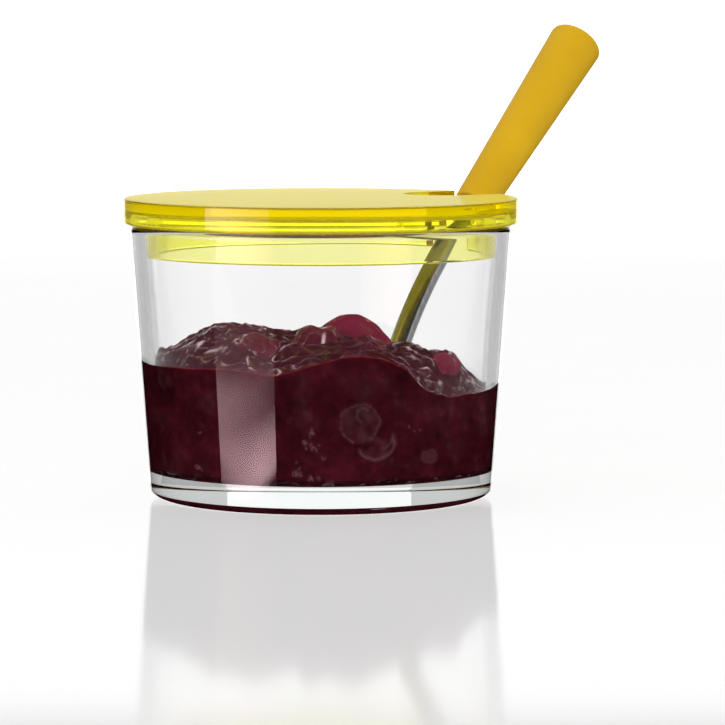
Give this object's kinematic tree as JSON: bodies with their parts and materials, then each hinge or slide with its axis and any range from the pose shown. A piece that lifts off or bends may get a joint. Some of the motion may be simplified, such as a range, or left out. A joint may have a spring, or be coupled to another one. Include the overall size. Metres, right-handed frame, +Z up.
{
  "type": "jam pot",
  "caption": "Tapered glass jam pot with berry jam, a clear yellow push-in lid with a spoon slot, and a steel jam spoon with a mustard yellow tapered handle leaning out of it",
  "frame": {"origin": "centre of the flat foot ring on the jar's underside, on the jar's axis, at table level", "axes": "+Z up along the jar's axis, -Y towards the viewer of the picture (front), +X to the right, the side to which the spoon leans"},
  "size_m": [0.1206, 0.1051, 0.117],
  "materials": {
    "clear_glass": "gloss",
    "yellow_clear_plastic": "gloss",
    "spoon_steel": "gloss",
    "yellow_handle": "satin",
    "dark_jam": "gloss",
    "red_fruit": "gloss"
  },
  "bodies": {
    "jar": {"glass_jar": "clear_glass", "jam": "dark_jam", "berries": "red_fruit"},
    "lid_body": {"lid": "yellow_clear_plastic"},
    "spoon_body": {"spoon": "spoon_steel", "spoon_handle": "yellow_handle"}
  },
  "joints": [
    {"name": "lid_lift", "type": "slide", "parent": "jar", "child": "lid_body", "axis": [0, 0, 1], "range_m": [0, 0.06]},
    {"name": "spoon_lift", "type": "slide", "parent": "jar", "child": "spoon_body", "axis": [0.3766, 0.3934, 0.8387], "range_m": [0, 0.0215]}
  ]
}
